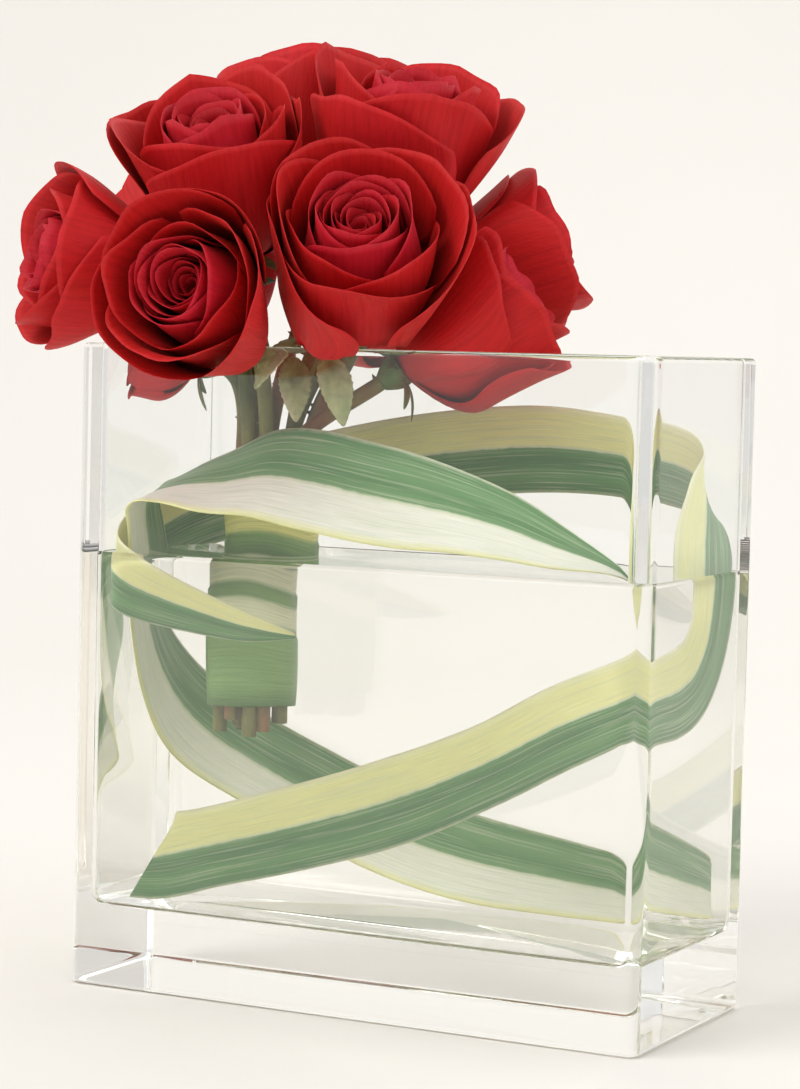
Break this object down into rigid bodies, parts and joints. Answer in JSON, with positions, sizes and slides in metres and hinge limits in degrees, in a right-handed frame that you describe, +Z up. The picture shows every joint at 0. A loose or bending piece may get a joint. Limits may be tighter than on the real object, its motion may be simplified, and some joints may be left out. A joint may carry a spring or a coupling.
{
  "type": "roses in a vase",
  "caption": "Bunch of red roses bound with a striped leaf, standing in water in a rectangular thick-based glass vase with long striped leaves curled round inside.",
  "frame": {"origin": "centre of the vase's flat underside", "axes": "+Z up, X along the vase's long side, -Y out of the face the picture is taken from"},
  "size_m": [0.281, 0.2184, 0.3637],
  "materials": {
    "clear_glass": "polished clear glass",
    "water": "still clear water",
    "variegated_leaf": "smooth leaf, green half and cream half along its length",
    "wrap_leaf": "smooth striped leaf wound in overlapping turns",
    "rose_stem": "green to reddish brown bark",
    "calyx": "matte green",
    "outer_petal": "velvety crimson",
    "inner_petal": "velvety deep crimson",
    "leaflet": "matte olive green"
  },
  "bodies": {
    "root": {"vase": "clear_glass", "water": "water", "long_leaf_1": "variegated_leaf", "long_leaf_2": "variegated_leaf", "stem_wrap": "wrap_leaf", "rose_1_stem": "rose_stem", "rose_1_calyx": "calyx", "rose_1_outer_petals": "outer_petal", "rose_1_inner_petals": "inner_petal", "rose_2_stem": "rose_stem", "rose_2_calyx": "calyx", "rose_2_outer_petals": "outer_petal", "rose_2_inner_petals": "inner_petal", "rose_3_stem": "rose_stem", "rose_3_calyx": "calyx", "rose_3_outer_petals": "outer_petal", "rose_3_inner_petals": "inner_petal", "rose_4_stem": "rose_stem", "rose_4_calyx": "calyx", "rose_4_outer_petals": "outer_petal", "rose_4_inner_petals": "inner_petal", "rose_5_stem": "rose_stem", "rose_5_calyx": "calyx", "rose_5_outer_petals": "outer_petal", "rose_5_inner_petals": "inner_petal", "rose_6_stem": "rose_stem", "rose_6_calyx": "calyx", "rose_6_outer_petals": "outer_petal", "rose_6_inner_petals": "inner_petal", "rose_7_stem": "rose_stem", "rose_7_calyx": "calyx", "rose_7_outer_petals": "outer_petal", "rose_7_inner_petals": "inner_petal", "rose_8_stem": "rose_stem", "rose_8_calyx": "calyx", "rose_8_outer_petals": "outer_petal", "rose_8_inner_petals": "inner_petal", "rose_9_stem": "rose_stem", "rose_9_calyx": "calyx", "rose_9_outer_petals": "outer_petal", "rose_9_inner_petals": "inner_petal", "rose_10_stem": "rose_stem", "rose_10_calyx": "calyx", "rose_10_outer_petals": "outer_petal", "rose_10_inner_petals": "inner_petal", "rose_11_stem": "rose_stem", "rose_11_calyx": "calyx", "rose_11_outer_petals": "outer_petal", "rose_11_inner_petals": "inner_petal", "rose_leaflet_1": "leaflet", "rose_leaflet_2": "leaflet", "rose_leaflet_3": "leaflet"}
  },
  "joints": []
}
